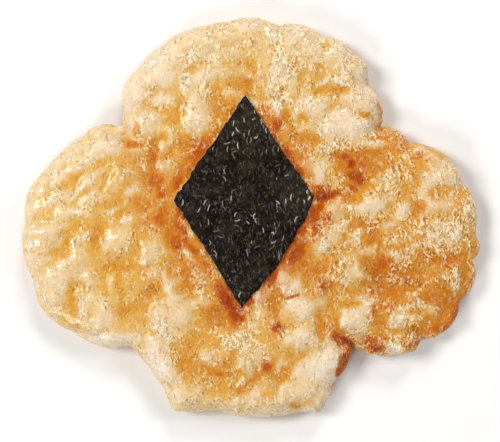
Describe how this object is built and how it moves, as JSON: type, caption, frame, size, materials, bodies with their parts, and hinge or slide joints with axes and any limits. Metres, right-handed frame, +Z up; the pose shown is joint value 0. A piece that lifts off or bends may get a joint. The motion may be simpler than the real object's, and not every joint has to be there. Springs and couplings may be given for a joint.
{
  "type": "japanese rice cracker",
  "caption": "Puffed rice cracker in the shape of a playing-card club, glazed and toasted, with a rhombus of nori on its top.",
  "frame": {"origin": "middle of the outline's bounding box, on the surface that the cracker rests on", "axes": "+Z up out of the shown side, +Y from the stem towards the top lobe, +X towards the right lobe as the shown side is seen"},
  "size_m": [0.0578, 0.0506, 0.0066],
  "materials": {
    "puffed_rice": "puffed and toasted rice, cream on the grains and amber in the hollows, with a thin glossy glaze",
    "dried_seaweed": "toasted nori, nearly black with a brown and green tint, fibrous and slightly shiny"
  },
  "bodies": {
    "root": {"cracker": "puffed_rice", "nori": "dried_seaweed"}
  },
  "joints": []
}
